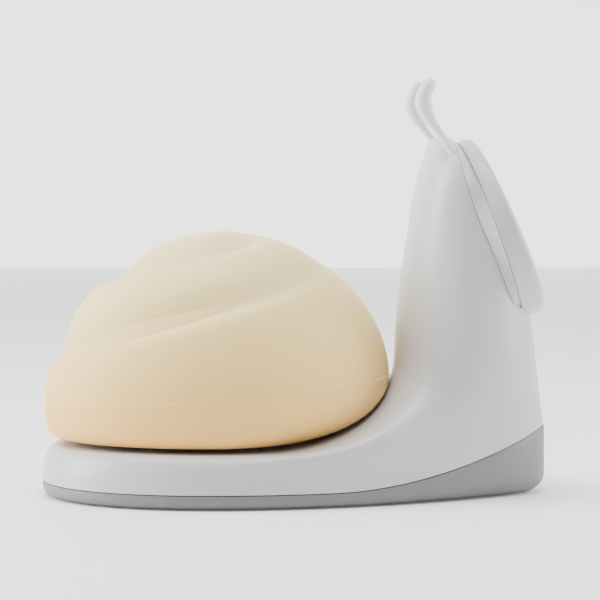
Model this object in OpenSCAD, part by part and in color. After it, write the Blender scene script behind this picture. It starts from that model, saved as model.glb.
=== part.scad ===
// Snail desk light with a tilted wireless charging face.
// +X is the way the snail faces, +Z is up, and z = 0 is the table. Millimetres.

/* [Foot] */
// Length of the foot from tail to chin
foot_len = 160; // [156:1:164]
// Half-width of the foot, averaged between tail and head
foot_half_w = 46.6; // [45:0.2:48]
// How much wider the tail half of the egg outline is than the head half
egg_skew = 15.9; // [14:0.1:17]
// Height of the saddle deck under the shell
deck_z = 16.2; // [15.8:0.1:16.4]
// Wall thickness of the moulded housings
wall = 2.4; // [2:0.1:2.6]
// Bottom edge radius at the tail
edge_r_tail = 2.6; // [2.4:0.1:3]
// Bottom edge radius at the chin
edge_r_chin = 5.5; // [5:0.5:8]

/* [Neck] */
// Half-width of the neck
neck_half_w = 27; // [26:0.5:28]
// Back of the neck where it stands straightest
neck_back_x = 31.9; // [31.8:0.1:32.1]
// Crest of the head
crest_z = 112.6; // [112:0.1:113]

/* [Charging face] */
// Radius of the round face
face_r = 30; // [29.5:0.1:30.5]
// Lean of the face back from vertical
face_tilt = 23.6; // [22:0.1:25]
// Centre of the face, forward
face_x = 68.05; // [67.8:0.05:68.1]
// Centre of the face, up
face_z = 85.5; // [85:0.1:86]

/* [Shell] */
// Half-length of the shell at its girth
shell_a = 54.9; // [54.4:0.1:55]
// Half-width of the shell at its girth
shell_b = 45; // [43:0.5:46]
// Height of the dome above the girth
shell_h = 53.5; // [51:0.5:55]
// Tilt of the girth, up towards the head
shell_tilt = 4.8; // [4:0.1:5.5]
// Depth of the spiral furrow
furrow = 2.6; // [1:0.1:3]
// Press travel of the shell
press = 1; // [0.8:0.1:1]

/* [Tentacles] */
// Distance of each tentacle from the middle
tentacle_y = 19; // [18:0.5:20]

/* [Hidden] */
$fn = 64;

ring_n = 48;            // points round each ring of the body
seam_gap = 0.2;         // parting gap between the two housings
seam_low = 4.4;         // height of the parting line under the shell
base_z = 0.3;           // underside of the lower cover, above the table
saddle_r = 46;          // reach of the saddle's sweep into the neck
neck_foot_z = 42;       // where the neck's back turns into the saddle
saddle_tuck = 10;       // how quickly the sweep rounds in at its tail
crown_z = 92;           // where the head starts to round over
rim_r = 2.4;            // rounding of the deck's rim
skin_t = 2.4;           // thickness of the soft shell
lamp_x = -36;           // axis of the press mechanism
post_ring_r = 16;       // guide posts, from that axis
post_r = 1.5;

// Charging face
face_normal = [cos(face_tilt), 0, sin(face_tilt)];
face_up = [-sin(face_tilt), 0, cos(face_tilt)];
// Shell
shell_x = -24.6;        // middle of the girth
girth_z = 32.5;
shell_top_z = 83;
apex_x = -22.6;         // the whorls close on this line
dome_power = 1.9;       // 2 would be an ellipse; less is nearer a cone
under_z = 17.7;         // underside of the shell
saddle_clearance = 1.5; // between the shell and the saddle, which the press uses up to 1 mm of
furrow_r = 5.5;         // half-width of the furrow along the surface
dome_arc = 84;          // length of the surface from girth to apex
shell_n = 60;           // points round each ring of the shell
// Housings
screw_spots = [[-58, 19], [-58, -19], [2, 32], [2, -32], [66, 0]];
cup_spots = [for (a = [60, 180, 300]) [lamp_x + post_ring_r * cos(a), post_ring_r * sin(a)]];
seat_z = base_z + wall + 1.2;    // top of the screw pads inside the lower cover
inlet_z = 8.8;                   // middle of the charging inlet
low_levels = [12, 14, 15.4, 17, 18, 19.2, 20.6, 22.2, 24, 26, 28.5, 31.5, 35, 39];
high_levels = [44, 50, 58, 66, 74, 82, 90, 95, 99, 102.5, 105.5, 108, 110, 111.4, 112.3];
pad_inset = 10;         // foot pad, from the foot's outline
pad_recess = 0.8;
// Steel weight over the chin's end of the foot, so that lifting a phone off doesn't tip it
ballast_spots = [[18, 18], [18, -18], [48, 0]];
ballast_t = 4;
// Face cap and what it carries
cap_depth = 10.6;       // how far the face cap reaches back to the neck
plate_top = -1.5;       // floor of the pad's recess
plate_low = -3.2;
collar_low = 22;         // the collar follows the neck's outline down to here, below the face's middle
magnet_count = 16;
charger_spots = [[14, 0], [-14, 0]];
// Tentacles
root_r = 1.5;
yoke_reach = 19.1;      // half-length of the yoke that the roots push into
root_lean = 6;          // lean of the roots inside the head, forward
tentacle_line = [[48.6, 0, 107.9], [41.3, 0, 118.9], [36.3, 0, 121.9], [41.2, 0, 129]];
root_dir = [sin(root_lean), 0, cos(root_lean)];
// Press mechanism
cup_r = 4.4;
cup_floor = 8;
cup_low = 5.5;
carrier_z = 20;         // plate that the shell rides on
carrier_t = 2;
pusher_reach = 16;
switch_top = 14.5;
lost_motion = 0.45;     // gap between the pusher and the switch at rest
dome_inset = skin_t + 0.8;
dome_t = 2;
dome_angles = [for (a = [0 : 5 : 60]) a, for (a = [64 : 4 : 88]) a];
carrier_screw_spots = [for (a = [30, 150, 270]) [lamp_x + 15.6 * cos(a), 15.6 * sin(a)]];
// Lamp and boards
stand_screw_spots = [for (s = [-1, 1]) [lamp_x, 5.8 * s]];
board_ring_spots = [for (a = [90, 210, 330]) [lamp_x + 12 * cos(a), 12 * sin(a)]];
lamp_z = 30;            // underside of the lamp board
led_count = 12;
board_z = 5;
board_t = 1.4;
board_low = [-70, -21];
board_size = [60, 42];
board_spots = [[-67, 17], [-67, -17], [-14, 17], [-14, -17]];
// Controller, driver, inductor and capacitors as [x, y, length, width, height]
chips = [[-44, 8, 7, 7, 1.2], [-40, -14, 5, 4, 1.4], [-66, 6, 6, 6, 3], [-66, -13, 4, 4, 2], [-46, -5, 4, 3, 1]];
// Middle lines of the two cables
neck_route = [[-12, 0, 9.4], [-4, 0, 10.4], [10, 0, 10.8], [24, 0, 11.4], [36, 0, 14], [42, 0, 22], [44, 0, 34],
    [45, 0, 48], [46, 0, 62], [48, 0, 74], [50, 0, 79]];
lamp_route = [[-30, 3, 9], [-34, 0.5, 9.6], [lamp_x, 0, 12], [lamp_x, 0, 18], [lamp_x, 0, 26], [lamp_x, 0, 33]];

function lerp(a, b, f) = a + (b - a) * f;
function ramp(f) = let (g = min(1, max(0, f))) g * g * (3 - 2 * g);
function mean(points) = [for (k = [0 : 2]) [for (p = points) p[k]] * [for (p = points) 1] / len(points)];
function turns(n) = [for (i = [0 : n - 1]) 360 * i / n];

// Skin over rings of equal count, closed at both ends on the middle of the end rings
module loft(rings) {
    n = len(rings[0]);
    m = len(rings);
    polyhedron(
        points = concat([for (r = rings) each r], [mean(rings[0]), mean(rings[m - 1])]),
        faces = concat(
            [for (i = [0 : n - 1]) [i, (i + 1) % n, n * m]],
            [for (j = [0 : m - 2], i = [0 : n - 1]) [j * n + i, (j + 1) * n + i, (j + 1) * n + (i + 1) % n]],
            [for (j = [0 : m - 2], i = [0 : n - 1]) [j * n + i, (j + 1) * n + (i + 1) % n, j * n + (i + 1) % n]],
            [for (i = [0 : n - 1]) [(m - 1) * n + (i + 1) % n, (m - 1) * n + i, n * m + 1]]),
        convexity = 10);
}

function reverse(list) = [for (i = [len(list) - 1 : -1 : 0]) list[i]];

// Tube of the given radii along a list of points, its rings square to y
module sweep(points, radii, n = 10) {
    last = len(points) - 1;
    loft([for (i = [0 : last])
        let (along = points[min(last, i + 1)] - points[max(0, i - 1)],
             side = cross([0, 1, 0], along) / norm(cross([0, 1, 0], along)),
             over = cross(along, side) / norm(along))
        [for (t = turns(n)) points[i] + radii[i] * (cos(t) * side + sin(t) * over)]]);
}

function bezier(p, f) =
    pow(1 - f, 3) * p[0] + 3 * f * pow(1 - f, 2) * p[1] + 3 * f * f * (1 - f) * p[2] + f * f * f * p[3];

// ---- The foot: an egg in plan with a curved parting line ----

function egg_half_w(x) = let (c = min(1, abs(x) / (foot_len / 2)) * sign(x))
    (foot_half_w - egg_skew * c) * sqrt(1 - c * c);
function foot_xy(t, inset) =
    [(foot_len / 2 - inset) * cos(t), (foot_half_w - inset - egg_skew * cos(t)) * sin(t)];
function seam_z(x) = seam_low + 17 * pow(max(0, x - 10) / 70, 1.9);
function edge_r(t) = lerp(edge_r_tail, edge_r_chin, ramp((foot_len / 2 * cos(t) - 10) / 60));

// Rings of the lower cover's outside, or of its inside when inset by a wall
function cover_rings(inset) = [
    for (a = [0 : 22.5 : 90]) [for (t = turns(ring_n))
        let (xy = foot_xy(t, inset + max(0, edge_r(t) - inset) * (1 - sin(a))))
        [xy.x, xy.y, base_z + inset + max(0, edge_r(t) - inset) * (1 - cos(a)) * 0.98]],
    [for (t = turns(ring_n)) let (xy = foot_xy(t, inset)) [xy.x, xy.y, seam_z(xy.x)]]];

// Rings of the upper housing's foot, from the parting line over the rim to the deck
function deck_rings(inset) = [
    [for (t = turns(ring_n)) let (xy = foot_xy(t, inset)) [xy.x, xy.y, seam_z(xy.x) + seam_gap]],
    for (a = inset < rim_r ? [0, 30, 60, 90] : [90]) [for (t = turns(ring_n))
        let (xy = foot_xy(t, max(rim_r, inset) - max(0, rim_r - inset) * cos(a)), z = rim_z(xy.x, inset))
        [xy.x, xy.y, z - max(0, rim_r - inset) * (1 - sin(a))]],
    [for (t = turns(ring_n)) [6 * cos(t), 6 * sin(t), deck_z - inset]]];
// The deck is level, and climbs above the parting line inside the chin
function rim_z(x, inset) = deck_z - inset + 8 * ramp((x - 30) / 45);

// ---- The neck: level rings that sweep out of the deck and close on the crest ----

function front_x(z) = foot_len / 2 - 0.2 - 0.125 * max(0, z - 20);
function back_x(z) =
    z < deck_z ? neck_back_x - saddle_r
    : z < neck_foot_z ? neck_back_x - saddle_r * (1 - cos(asin((neck_foot_z - z) / (neck_foot_z - deck_z))))
    : neck_back_x + 0.005 * pow(z - neck_foot_z, 1.83) - 0.8 * ramp((z - 80) / 15);
function crown(z) = z < crown_z ? 1 : pow(1 - pow((z - crown_z) / (crest_z - crown_z), 3), 1 / 3);
function squareness(z) = lerp(2, 2.5, ramp((z - 60) / 40));
// Half-width of the neck at height z and place x
function neck_half(x, z) =
    let (middle = (back_x(z) + front_x(z)) / 2, reach = (front_x(z) - back_x(z)) / 2, e = squareness(z))
    neck_half_w * crown(z) * pow(max(0, 1 - pow(abs(x - middle) / reach, e)), 1 / e);
function neck_point(t, z, inset) =
    let (xb = back_x(z) + inset, xf = front_x(z) - inset,
         x = (xb + xf) / 2 + (xf - xb) / 2 * cos(t),
         round_x = (xb + xf) / 2 + (xf - xb) / 2 * sign(cos(t)) * pow(abs(cos(t)), 2 / squareness(z)),
         tuck = sqrt(max(0, 1 - pow(1 - min(1, (x - xb) / saddle_tuck), 2))),
         egg_y = max(0, egg_half_w(x * foot_len / 2 / xf) - inset - 0.15) * tuck * sign(sin(t)),
         neck_y = (neck_half_w - inset) * crown(z) * sign(sin(t)) * pow(abs(sin(t)), 2 / squareness(z)),
         f = ramp((z - deck_z) / 34))
    [lerp(x, round_x, f), lerp(egg_y, neck_y, f), z - inset];
function neck_rings(levels, inset) = [for (z = levels) [for (t = turns(ring_n)) neck_point(t, z, inset)]];

// ---- The charging face: a frame at its centre, +Z out of the face, +Y up its slope ----

module at_face() {
    translate([face_x, 0, face_z]) rotate([0, 90 - face_tilt, 0]) rotate([0, 0, 90]) children();
}
// Back from the face's frame to the whole object's
module off_face() {
    rotate([0, 0, -90]) rotate([0, face_tilt - 90, 0]) translate([-face_x, 0, -face_z]) children();
}
// A point given by its depth behind the face and its height up the slope
function face_point(depth, up) = [face_x, 0, face_z] - depth * face_normal + up * face_up;
// Outline of the neck where a plane at this depth behind the face cuts it
function neck_slice(depth, low, high, steps) = let (
    side = [for (k = [0 : steps]) let (v = lerp(low, high, k / steps), p = face_point(depth, v))
        [max(0.5, neck_half(p.x, min(crest_z - 0.05, p.z))), v]])
    concat(side, reverse([for (p = side) [-p.x, p.y]]));

// ---- The shell: an egg dome on a tilted girth, with one spiral furrow ----

function girth_point(t) = [
    shell_x + shell_a * cos(shell_tilt) * cos(t),
    shell_b * sin(t),
    girth_z + shell_a * sin(shell_tilt) * cos(t)];
// Height share of the furrow after this many turns from the tail
function furrow_h(turn) = let (left = max(0, 1 - turn / 1.75))
    1 - 0.535 * pow(left, 1.36) - 0.165 * left * cos(360 * turn);
function furrow_fade(turn) = ramp((turn + 0.3) / 0.3) * ramp((1.7 - turn) / 0.3)
    * (0.1 + 0.9 * pow((1 + cos(360 * (turn - 0.12))) / 2, 1.2));
function furrow_depth(t, a) = let (turn = (t < 180 ? t + 180 : t - 180) / 360)
    [for (k = [-1 : 1])
        let (u = turn + k, h = min(1, max(0, furrow_h(u))), line = asin(pow(h, dome_power / 2)),
             off = (a - line) / 90 * dome_arc)
        u < -0.3 || u > 1.7 ? 0 : furrow * furrow_fade(u) * exp(-pow(off / furrow_r, 2))]
    * [1, 1, 1];
// Point of the dome at angle t round it and angle a up it, drawn in by a depth
function dome_point(t, a, inset) =
    let (g = girth_point(t), w = pow(cos(a), 2 / dome_power), h = pow(sin(a), 2 / dome_power),
         depth = inset + furrow_depth(t, a) * (inset > 0 ? 0 : 1),
         share = 1 - depth / 50)
    [apex_x + (g.x - apex_x) * w * share, g.y * w * share, g.z + (shell_top_z - g.z) * h - depth * h];
// Height of the saddle's surface over a place in plan
function saddle_z(x, y) =
    let (across = min(1, abs(y) / max(1, egg_half_w(x))),
         xb = x - saddle_tuck * (1 - sqrt(1 - across * across)),
         c = min(1, max(0, 1 - (neck_back_x - xb) / saddle_r)))
    neck_foot_z - (neck_foot_z - deck_z) * sqrt(1 - c * c);
// Point of the rounded underside, which keeps clear of the saddle
function under_point(t, a, inset) =
    let (g = girth_point(t), nose = pow(max(0, cos(t)), 1.5),
         f = 1 - (0.12 + 0.6 * nose) * pow(1 - cos(a), 1.6) - inset / 50,
         x = shell_x + (apex_x - shell_x) * inset / 50 + (g.x - shell_x) * f,
         y = g.y * f,
         floor_z = saddle_z(x, y) + saddle_clearance + inset * (1 - sin(a)))
    [x, y, min(g.z - 0.02 * a, max(lerp(g.z, under_z, sin(a)), floor_z))];

// ---- Small parts ----

// Pan-head screw with its head's seat at z = 0 and its shank downwards
module screw(r, length, head_r, head_h) {
    difference() {
        union() {
            cylinder(r = head_r, h = head_h);
            translate([0, 0, -length]) cylinder(r = r, h = length + 0.01);
        }
        translate([0, 0, head_h - 0.6]) cylinder(r = head_r * 0.5, h = 1, $fn = 6);
    }
}
module tube(r, bore, h) {
    difference() {
        cylinder(r = r, h = h);
        translate([0, 0, -1]) cylinder(r = bore, h = h + 2);
    }
}
// Puts its children at each place of a list
module at_each(places) {
    for (p = places) translate(p) children();
}

// ---- Housings ----

// Joins smooth skins into one
module merged() {
    resize([0, 0, 0]) union() children();
}
module on_spots(spots, z) {
    for (s = spots) translate([s.x, s.y, z]) children();
}
// The neck above the parting line, with rings that start on it
module neck(inset) {
    loft([for (ring = neck_rings(concat(low_levels, high_levels), inset))
        [for (p = ring) [p.x, p.y, max(p.z, seam_z(p.x) + seam_gap + 0.5 + p.z / 200)]]]);
}
module inlet_slot(width, height, length) {
    rotate([0, 90, 0]) linear_extrude(length) hull()
        for (s = [-1, 1]) translate([0, s * (width - height) / 2]) circle(height / 2);
}

module upper_housing() color("white") {
    difference() {
        union() {
            merged() difference() {
                union() {
                    loft(deck_rings(0));
                    neck(0);
                }
                translate([0, 0, -0.4]) loft(deck_rings(wall));
                neck(wall);
            }
            on_spots(screw_spots, seat_z + 0.1) cylinder(r = 3.4, h = deck_z - wall / 2 - seat_z);
            translate([screw_spots[4].x, 0, deck_z - 3]) cylinder(r = 3.4, h = 13);
            translate([screw_spots[4].x, -1.2, 22.2]) cube([12.6, 2.4, 4]);
        }
        on_spots(screw_spots, seat_z - 1) cylinder(r = 1.25, h = 9);
        on_spots(cup_spots, 10) cylinder(r = cup_r + 0.1, h = 10);
        translate([lamp_x + pusher_reach, 0, 10]) cylinder(r = 2.8, h = 10);
        on_spots(stand_screw_spots, 10) cylinder(r = 1.3, h = 10);
        translate([lamp_x, 0, 10]) cylinder(r = 2.5, h = 10);
        translate([-foot_len / 2 - 1, 0, inlet_z]) inlet_slot(9.6, 3.8, 6);
        at_face() {
            translate([0, 0, -cap_depth - 0.2]) cylinder(r = face_r + 0.3, h = 60);
            translate([-60, -collar_low - 0.5, -cap_depth - 0.2]) cube([120, 90, 60]);
        }
        for (s = [-1, 1]) tentacle_exit(s) cylinder(r = root_r + 0.3, h = 16, center = true);
    }
}

module lower_cover() color("darkgray") {
    difference() {
        union() {
            merged() difference() {
                loft(cover_rings(0));
                loft(concat(cover_rings(wall), [[for (t = turns(ring_n)) let (xy = foot_xy(t, wall))
                    [xy.x, xy.y, seam_z(xy.x) + 5]]]));
            }
            on_spots(screw_spots, base_z + wall - 0.5) cylinder(r = 4.4, h = seat_z - base_z - wall + 0.5);
            on_spots(board_spots, base_z + wall - 0.5) cylinder(r = 2.6, h = board_z - base_z - wall + 0.5);
        }
        translate([0, 0, base_z - 1]) linear_extrude(pad_recess + 1) egg(pad_inset);
        on_spots(screw_spots, base_z - 1) cylinder(r = 3.1, h = seat_z - base_z - 0.3);
        on_spots(screw_spots, base_z - 1) cylinder(r = 1.6, h = 9);
        on_spots(board_spots, base_z + wall) cylinder(r = 0.9, h = 9);
        on_spots(ballast_spots, base_z + 1.4) cylinder(r = 0.9, h = 9);
    }
}
// Egg outline drawn in from the foot's
module egg(inset) {
    polygon([for (t = turns(ring_n)) foot_xy(t, inset)]);
}

module foot_pad() color("gray") linear_extrude(base_z + pad_recess - 0.1) egg(pad_inset + 0.2);

module housing_screws() color("silver")
    on_spots(screw_spots, seat_z - 1.3) rotate([180, 0, 0]) screw(1.2, 7.5, 2.8, 1.2);

module ballast_plate() color("slategray") translate([0, 0, base_z + wall + 0.1]) difference() {
    linear_extrude(ballast_t) intersection() {
        egg(9);
        translate([8, -24]) square([47, 48]);
    }
    on_spots(ballast_spots, -1) cylinder(r = 1.6, h = 9);
}
module ballast_screws() color("silver")
    on_spots(ballast_spots, base_z + wall + ballast_t + 0.1) screw(0.85, 4.8, 2.4, 1.1);

// ---- Charging face ----

module face_cap() color("white") at_face() difference() {
    union() {
        rotate_extrude($fn = 96) difference() {
            union() {
                translate([0, -cap_depth + 1]) square([face_r, cap_depth - 3.2]);
                translate([0, -cap_depth + 1]) square([face_r - 2.2, cap_depth - 1]);
                translate([face_r - 2.2, -2.2]) circle(2.2);
            }
            translate([-1, plate_top]) square([face_r - 2.6 + 1, 5]);
            translate([-1, -30]) square([face_r - 2.4 + 1, 30 + plate_low]);
            translate([-50, -50]) square([50, 100]);
        }
        difference() {
            intersection() {
                hull() {
                    translate([0, 0, -cap_depth]) linear_extrude(0.2)
                        polygon(neck_slice(cap_depth, -collar_low, 33.8, 14));
                    translate([0, 0, -6.9]) rotate([3.8, 0, 0]) cylinder(r = face_r - 0.4, h = 0.2, $fn = 64);
                }
                union() {
                    translate([0, 0, -20]) cylinder(r = face_r, h = 30);
                    translate([-60, -collar_low, -20]) cube([120, 90, 30]);
                }
            }
            translate([0, 0, -cap_depth - 1]) cylinder(r1 = face_r - 6.4, r2 = face_r - 2.4, h = cap_depth - 5.6);
            translate([0, 0, -6.6]) cylinder(r = face_r - 2.4, h = 9);
        }
        translate([0, 0, -6.6]) cylinder(r = 3.2, h = 4);
        for (s = [-1, 1], y = [10, -12]) translate([s * sqrt(pow(face_r - 6.4, 2) - y * y) - 1.2, y - 2.5, -14])
            cube([2.4, 5, 7]);
    }
    translate([0, 0, -12]) cylinder(r = 1, h = 9.4);
    for (s = [-1, 1]) off_face() tentacle_exit(s)
        cylinder(r = root_r + 0.3, h = 22, center = true);
}

module charge_pad() color("whitesmoke") at_face() translate([0, 0, plate_top])
    rotate_extrude($fn = 96) difference() {
        square([face_r - 2.7, 1.1]);
        for (r = [11, 22]) translate([r, 0.8]) square([0.6, 1]);
    }

module magnet_ring() color("silver") at_face()
    for (i = [0 : magnet_count - 1]) rotate([0, 0, 360 / magnet_count * i]) translate([25, 0, plate_low - 2.1])
        translate([-1.9, -3.8, 0]) cube([3.8, 7.6, 2]);

module charge_coil() color("orange") at_face() translate([0, 0, plate_low - 2]) rotate_extrude($fn = 96)
    for (i = [0 : 11]) translate([10 + i, 0]) square([0.9, 1.9]);

module ferrite_disc() color("dimgray") at_face() translate([0, 0, plate_low - 3.2]) tube(22.4, 3.6, 1.1);

module coil_carrier() color("white") at_face() translate([0, 0, -8.2]) difference() {
    union() {
        cylinder(r = 21.2, h = 1.4);
        on_spots(charger_spots, -2) cylinder(r = 2.2, h = 2.1);
    }
    translate([0, 0, -3]) cylinder(r = 1.5, h = 9);
    on_spots(charger_spots, -3) cylinder(r = 0.9, h = 9);
}
module coil_screw() color("silver") at_face() translate([0, 0, -8.3]) rotate([180, 0, 0]) screw(0.95, 4.5, 2.2, 1);

module charger_board() color("darkgreen") at_face() translate([0, 0, -11.7]) {
    difference() {
        translate([-18, -13, 0]) cube([36, 26, 1.4]);
        on_spots(charger_spots, -1) cylinder(r = 1.2, h = 9);
        translate([0, 0, -1]) cylinder(r = 2.6, h = 9);
    }
    for (p = [[-9, 4], [4, 5], [-6, -9]]) translate([p.x, p.y, -1.2]) cube([5, 4, 1.2]);
}
module charger_board_screws() color("silver") at_face() on_spots(charger_spots, -11.8)
    rotate([180, 0, 0]) screw(0.85, 4.4, 1.8, 0.9);

// ---- Tentacles ----

function tentacle_r(f) = root_r - 0.2 * ramp(f / 0.2) + 1.3 * ramp((f - 0.2) / 0.45) - 0.5 * ramp((f - 0.7) / 0.3);

module tentacle_exit(side) {
    translate([tentacle_line[0].x, side * tentacle_y, tentacle_line[0].z]) rotate([0, root_lean, 0]) children();
}
// A soft stalk on a root that passes through the head's wall and the yoke, and ends in a bulb
module tentacle(side) {
    steps = 18;
    root_depths = [-13.6, -12.3, -12.1, -8, -4, -1];
    tip = tentacle_line[3];
    r_tip = tentacle_r(1);
    line = concat(
        [for (d = root_depths) tentacle_line[0] + d * root_dir],
        [for (i = [0 : steps]) bezier(tentacle_line, i / steps)],
        [for (a = [30, 60, 85]) tip + [0.1, 0, 0.98] * r_tip * sin(a)]);
    radii = concat(
        [for (d = root_depths) d < -12.2 ? root_r + 0.5 : root_r],
        [for (i = [0 : steps]) tentacle_r(i / steps)],
        [for (a = [30, 60, 85]) r_tip * cos(a)]);
    translate([0, side * tentacle_y, 0]) sweep(line, radii, 12);
}
module tentacle_right() color("ghostwhite") tentacle(-1);
module tentacle_left() color("ghostwhite") tentacle(1);

// Yoke between the two roots, inside the head
module tentacle_yoke() color("lightgray") difference() {
    tentacle_exit(0) translate([-1.8, -yoke_reach, -12]) cube([3, 2 * yoke_reach, 2]);
    for (s = [-1, 1]) tentacle_exit(s) cylinder(r = root_r + 0.05, h = 30, center = true);
}

// ---- Shell and the press mechanism under it ----

function dome_rings(inset, angles) = [for (a = angles) [for (t = turns(shell_n)) dome_point(t, a, inset)]];
function under_rings(inset, angles) = [for (a = angles)
    [for (t = turns(shell_n)) under_point(t, a, inset) + [0, 0, inset * sin(a)]]];
// Ring drawn in level from the underside's edge
function flange_ring(share, lift) = let (edge = under_rings(0, [90])[0], m = mean(edge))
    [for (p = edge) [lerp(m.x, p.x, share), lerp(m.y, p.y, share), p.z + lift]];

module shell_skin() color("wheat") loft(concat(
    reverse(dome_rings(skin_t, [0 : 12 : 84])),
    under_rings(skin_t, [15 : 15 : 60]),
    [flange_ring(0.97, skin_t), flange_ring(0.86, skin_t), flange_ring(0.86, 0)],
    reverse(under_rings(0, [10 : 10 : 90])),
    dome_rings(0, dome_angles)));

module diffuser_dome() color("ivory") difference() {
    loft(concat(
        reverse(dome_rings(dome_inset + dome_t, [0 : 12 : 84])),
        under_rings(dome_inset + dome_t, [20, 45]),
        [hub_ring(12, carrier_z + carrier_t + 3.1), hub_ring(12, carrier_z + carrier_t + 0.1)],
        [hub_ring(19, carrier_z + carrier_t + 0.1)],
        under_rings(dome_inset, [60 : -15 : 15]),
        dome_rings(dome_inset, [0 : 12 : 84])));
    on_spots(carrier_screw_spots, carrier_z) cylinder(r = 0.9, h = 6.5);
}
function hub_ring(r, z) = [for (t = turns(shell_n)) [lamp_x + r * cos(t), r * sin(t), z]];

// Plate that the shell rides on, with three guide posts and the switch pusher under it
module carrier_clip_groove() {
    translate([0, 0, cup_low - 1]) tube(post_r + 1, post_r - 0.25, 0.9);
}
module shell_carrier() color("lightgray") difference() {
    union() {
        translate([lamp_x, 0, carrier_z]) tube(19.4, 10, carrier_t);
        on_spots(cup_spots, 4.1) cylinder(r = post_r, h = carrier_z - 4);
        translate([lamp_x + pusher_reach, 0, switch_top + lost_motion])
            cylinder(r = 1.8, h = carrier_z - switch_top - lost_motion + 0.1);
    }
    on_spots(carrier_screw_spots, carrier_z - 1) cylinder(r = 1.2, h = 9);
    on_spots(cup_spots, 0) carrier_clip_groove();
}
module carrier_screws() color("silver")
    on_spots(carrier_screw_spots, carrier_z - 0.05) rotate([180, 0, 0]) screw(0.85, 6, 2, 1);
module carrier_clips() color("silver")
    on_spots(cup_spots, cup_low - 0.95) difference() {
        tube(3, post_r - 0.2, 0.8);
        translate([0, -0.9, -1]) cube([5, 1.8, 3]);
    }

// Cups pressed into the deck guide the posts and hold the springs
module spring_cups() color("white") on_spots(cup_spots, 0) difference() {
    union() {
        translate([0, 0, cup_low]) cylinder(r = cup_r, h = deck_z - cup_low + 0.9);
        translate([0, 0, deck_z + 0.05]) cylinder(r = cup_r + 1, h = 0.9);
    }
    translate([0, 0, cup_floor]) cylinder(r = 3.4, h = 20);
    cylinder(r = post_r + 0.06, h = 20);
}

// Round wire wound up the z axis
module helix(r, wire_r, coils, height) {
    steps = 12;
    loft([for (i = [0 : coils * steps]) let (t = 360 * i / steps, z = height * i / (coils * steps))
        [for (a = turns(6)) [(r + wire_r * cos(a)) * cos(t), (r + wire_r * cos(a)) * sin(t),
            z - wire_r * sin(a)]]]);
}
module return_springs() color("silver")
    on_spots(cup_spots, cup_floor + 0.45) helix(2.6, 0.35, 5, carrier_z - cup_floor - 0.9);

// ---- Lamp ----

module lamp_stand() color("white") difference() {
    union() {
        translate([lamp_x, 0, deck_z + 0.1]) cylinder(r = 8.4, h = 2.4);
        translate([lamp_x, 0, deck_z + 0.1]) cylinder(r = 4.4, h = lamp_z - deck_z - 2);
        translate([lamp_x, 0, lamp_z - 2.1]) cylinder(r = 15, h = 2);
        on_spots(stand_screw_spots, deck_z + 0.1) cylinder(r = 2, h = 6);
    }
    translate([lamp_x, 0, 0]) cylinder(r = 2.5, h = 60);
    on_spots(stand_screw_spots, deck_z - 1) cylinder(r = 0.9, h = 6);
    on_spots(board_ring_spots, lamp_z - 9) cylinder(r = 0.9, h = 20);
}
module lamp_board() color("white") translate([0, 0, lamp_z]) difference() {
    translate([lamp_x, 0, 0]) cylinder(r = 18, h = 1.4);
    translate([lamp_x, 0, -1]) cylinder(r = 2.5, h = 9);
    on_spots(board_ring_spots, -1) cylinder(r = 1.1, h = 9);
}
module lamp_leds() color("khaki")
    for (i = [0 : led_count - 1]) translate([lamp_x, 0, lamp_z + 1.45]) rotate([0, 0, (i + 0.5) * 360 / led_count])
        translate([16, 0, 0]) {
            translate([-1.6, -1.6, 0]) cube([3.2, 3.2, 0.9]);
            translate([0, 0, 0.8]) cylinder(r = 1.2, h = 0.4);
        }
module lamp_board_screws() color("silver") {
    on_spots(board_ring_spots, lamp_z + 1.5) screw(0.85, 3.6, 1.9, 1);
    on_spots(stand_screw_spots, deck_z - wall - 0.5) rotate([180, 0, 0]) screw(0.85, 6, 1.9, 1);
}

// ---- Switch and main board in the foot ----

module main_board() color("darkgreen") difference() {
    translate([board_low.x, board_low.y, board_z]) cube([board_size.x, board_size.y, board_t]);
    on_spots(cup_spots, 0) cylinder(r = cup_r + 0.6, h = 20);
    on_spots(board_spots, 0) cylinder(r = 1.2, h = 20);
    on_spots(screw_spots, 0) cylinder(r = 4.8, h = 20);
}
module main_board_screws() color("silver")
    on_spots(board_spots, board_z + board_t + 0.05) screw(0.85, 3.2, 1.9, 0.9);
module board_chips() color("black")
    for (c = chips) translate([c[0], c[1], board_z + board_t + 0.02]) cube([c[2], c[3], c[4]]);

module press_switch() color("black") translate([lamp_x + pusher_reach, 0, board_z + board_t + 0.05]) difference() {
    translate([-3, -3, 0]) cube([6, 6, 4.4]);
    translate([0, 0, 1]) cylinder(r = 1.75, h = 9);
}
module switch_plunger() color("ivory") translate([lamp_x + pusher_reach, 0, board_z + board_t + 2])
    cylinder(r = 1.7, h = switch_top - board_z - board_t - 2);

module usb_inlet() color("silver") translate([-foot_len / 2 + 0.7, 0, inlet_z]) {
    difference() {
        inlet_slot(9, 3.2, 7.4);
        translate([-1, 0, 0]) inlet_slot(8.4, 2.6, 7);
    }
    translate([0.8, -3.4, -0.35]) cube([6, 6.8, 0.7]);
    translate([6, -4.6, -inlet_z + board_z + board_t + 0.02]) cube([1.4, 9.2, 1.2]);
}

// ---- Wiring ----

module neck_cable() color("red") sweep(neck_route, [for (p = neck_route) 1.4], 8);
module lamp_cable() color("red") sweep(lamp_route, [for (p = lamp_route) 1.1], 8);

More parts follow.
